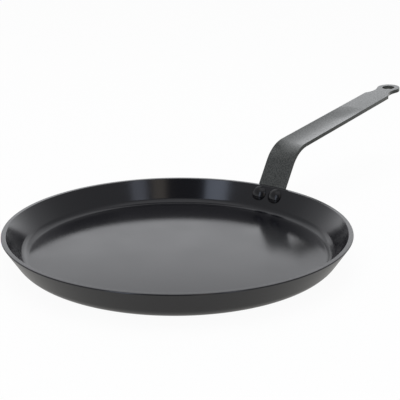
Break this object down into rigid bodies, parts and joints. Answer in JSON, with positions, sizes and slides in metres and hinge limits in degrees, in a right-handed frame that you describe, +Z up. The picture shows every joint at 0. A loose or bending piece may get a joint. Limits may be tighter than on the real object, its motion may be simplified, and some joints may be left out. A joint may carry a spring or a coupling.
{
  "type": "crepe pan",
  "caption": "Round crepe pan with a low sloping wall, dark non-stick coating and a long riveted strip handle that ends in a hanging eye.",
  "frame": {"origin": "centre of the flat base's underside, on the surface that the pan stands on", "axes": "+X from the pan's middle along the handle to its eye, +Y across the pan, +Z up out of the floor"},
  "size_m": [0.5603, 0.3, 0.0863],
  "materials": {
    "pan_coating": "pressed aluminium with a satin dark grey non-stick coating",
    "handle_lacquer": "steel strip with a fine-textured metallic grey lacquer",
    "rivet_coating": "solid aluminium rivets with a glossy black coating"
  },
  "bodies": {
    "root": {"pan_body": "pan_coating", "handle": "handle_lacquer", "rivet_left": "rivet_coating", "rivet_right": "rivet_coating"}
  },
  "joints": []
}
